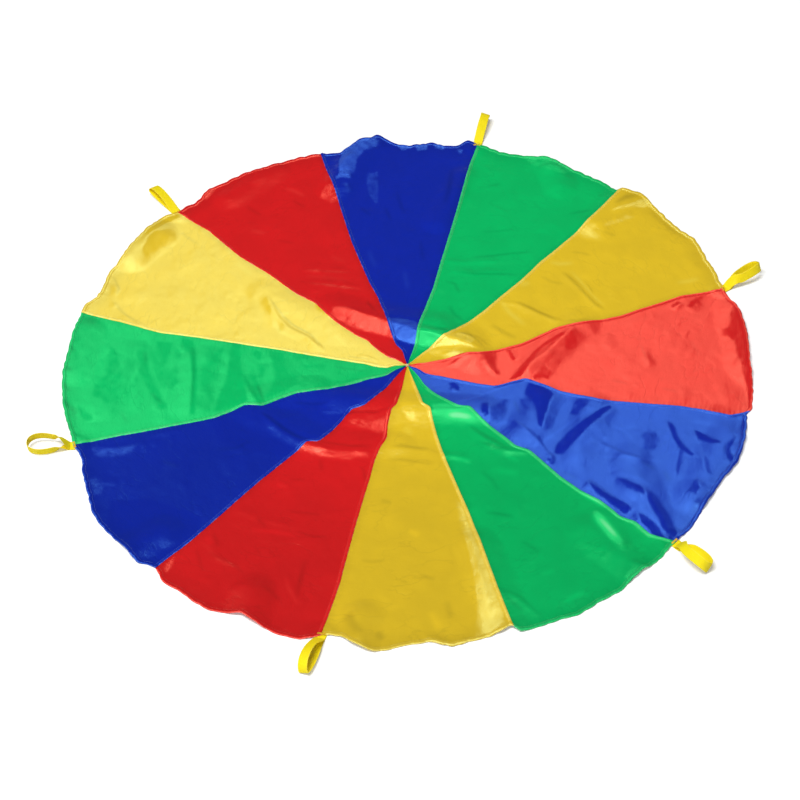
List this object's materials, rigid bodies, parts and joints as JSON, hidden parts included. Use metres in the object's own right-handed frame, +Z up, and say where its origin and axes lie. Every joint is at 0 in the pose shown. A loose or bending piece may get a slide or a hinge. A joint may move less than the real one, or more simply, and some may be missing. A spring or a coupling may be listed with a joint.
{
  "type": "play parachute",
  "caption": "Round cloth play canopy of coloured gores spread flat on the floor, with flat webbing handle loops round its hemmed rim.",
  "frame": {"origin": "the canopy's centre, on the floor plane that the cloth lies on", "axes": "+Z up; +Y along seam 1 to handle 1; +X along seam 4. Gores, seams and handles are numbered clockwise from +Y, seen from above"},
  "size_m": [1.7614, 1.9744, 0.051],
  "materials": {
    "cloth_green": "satin",
    "cloth_yellow": "satin",
    "cloth_red": "satin",
    "cloth_blue": "satin",
    "webbing": "matte",
    "tack_thread": "matte",
    "thread": "matte"
  },
  "bodies": {
    "near_half": {"gore_04_blue": "cloth_blue", "gore_05_green": "cloth_green", "gore_06_yellow": "cloth_yellow", "gore_07_red": "cloth_red", "gore_08_blue": "cloth_blue", "gore_09_green": "cloth_green", "seam_stitching_04": "thread", "seam_stitching_05": "thread", "seam_stitching_06": "thread", "seam_stitching_07": "thread", "seam_stitching_08": "thread", "seam_stitching_09": "thread", "hem_stitching_04": "thread", "hem_stitching_05": "thread", "hem_stitching_06": "thread", "hem_stitching_07": "thread", "hem_stitching_08": "thread", "hem_stitching_09": "thread", "handle_3_tail": "webbing", "handle_3_bar_tack": "tack_thread", "handle_4_tail": "webbing", "handle_4_bar_tack": "tack_thread", "handle_5_tail": "webbing", "handle_5_bar_tack": "tack_thread", "centre_tack": "thread"},
    "far_half": {"gore_10_yellow": "cloth_yellow", "gore_11_red": "cloth_red", "gore_12_blue": "cloth_blue", "gore_01_green": "cloth_green", "gore_02_yellow": "cloth_yellow", "gore_03_red": "cloth_red", "seam_stitching_10": "thread", "seam_stitching_11": "thread", "seam_stitching_12": "thread", "seam_stitching_01": "thread", "seam_stitching_02": "thread", "seam_stitching_03": "thread", "hem_stitching_10": "thread", "hem_stitching_11": "thread", "hem_stitching_12": "thread", "hem_stitching_01": "thread", "hem_stitching_02": "thread", "hem_stitching_03": "thread", "handle_1_tail": "webbing", "handle_1_bar_tack": "tack_thread", "handle_2_tail": "webbing", "handle_2_bar_tack": "tack_thread", "handle_6_tail": "webbing", "handle_6_bar_tack": "tack_thread"},
    "handle_1": {"handle_1_loop": "webbing"},
    "handle_2": {"handle_2_loop": "webbing"},
    "handle_3": {"handle_3_loop": "webbing"},
    "handle_4": {"handle_4_loop": "webbing"},
    "handle_5": {"handle_5_loop": "webbing"},
    "handle_6": {"handle_6_loop": "webbing"}
  },
  "joints": [
    {"name": "canopy_fold", "type": "hinge", "parent": "near_half", "child": "far_half", "pos_m": [0, 0, 0.019], "axis": [1, 0, 0], "range_deg": [0, 150]},
    {"name": "handle_1_flex", "type": "hinge", "parent": "far_half", "child": "handle_1", "pos_m": [0, 0.88095, 0.00165], "axis": [1, 0, 0], "range_deg": [-90, 60]},
    {"name": "handle_2_flex", "type": "hinge", "parent": "far_half", "child": "handle_2", "pos_m": [0.76191, 0.44183, 0.00165], "axis": [0.6947, -0.7193, 0], "range_deg": [-90, 60]},
    {"name": "handle_3_flex", "type": "hinge", "parent": "near_half", "child": "handle_3", "pos_m": [0.76231, -0.44137, 0.00165], "axis": [-0.6293, -0.7771, 0], "range_deg": [-90, 60]},
    {"name": "handle_4_flex", "type": "hinge", "parent": "near_half", "child": "handle_4", "pos_m": [-0.00073, -0.88091, 0.00165], "axis": [-0.9945, 0.1045, 0], "range_deg": [-90, 60]},
    {"name": "handle_5_flex", "type": "hinge", "parent": "near_half", "child": "handle_5", "pos_m": [-0.76355, -0.43903, 0.00165], "axis": [-0.2924, 0.9563, 0], "range_deg": [-90, 60]},
    {"name": "handle_6_flex", "type": "hinge", "parent": "far_half", "child": "handle_6", "pos_m": [-0.76253, 0.44109, 0.00165], "axis": [0.5878, 0.809, 0], "range_deg": [-90, 60]}
  ]
}
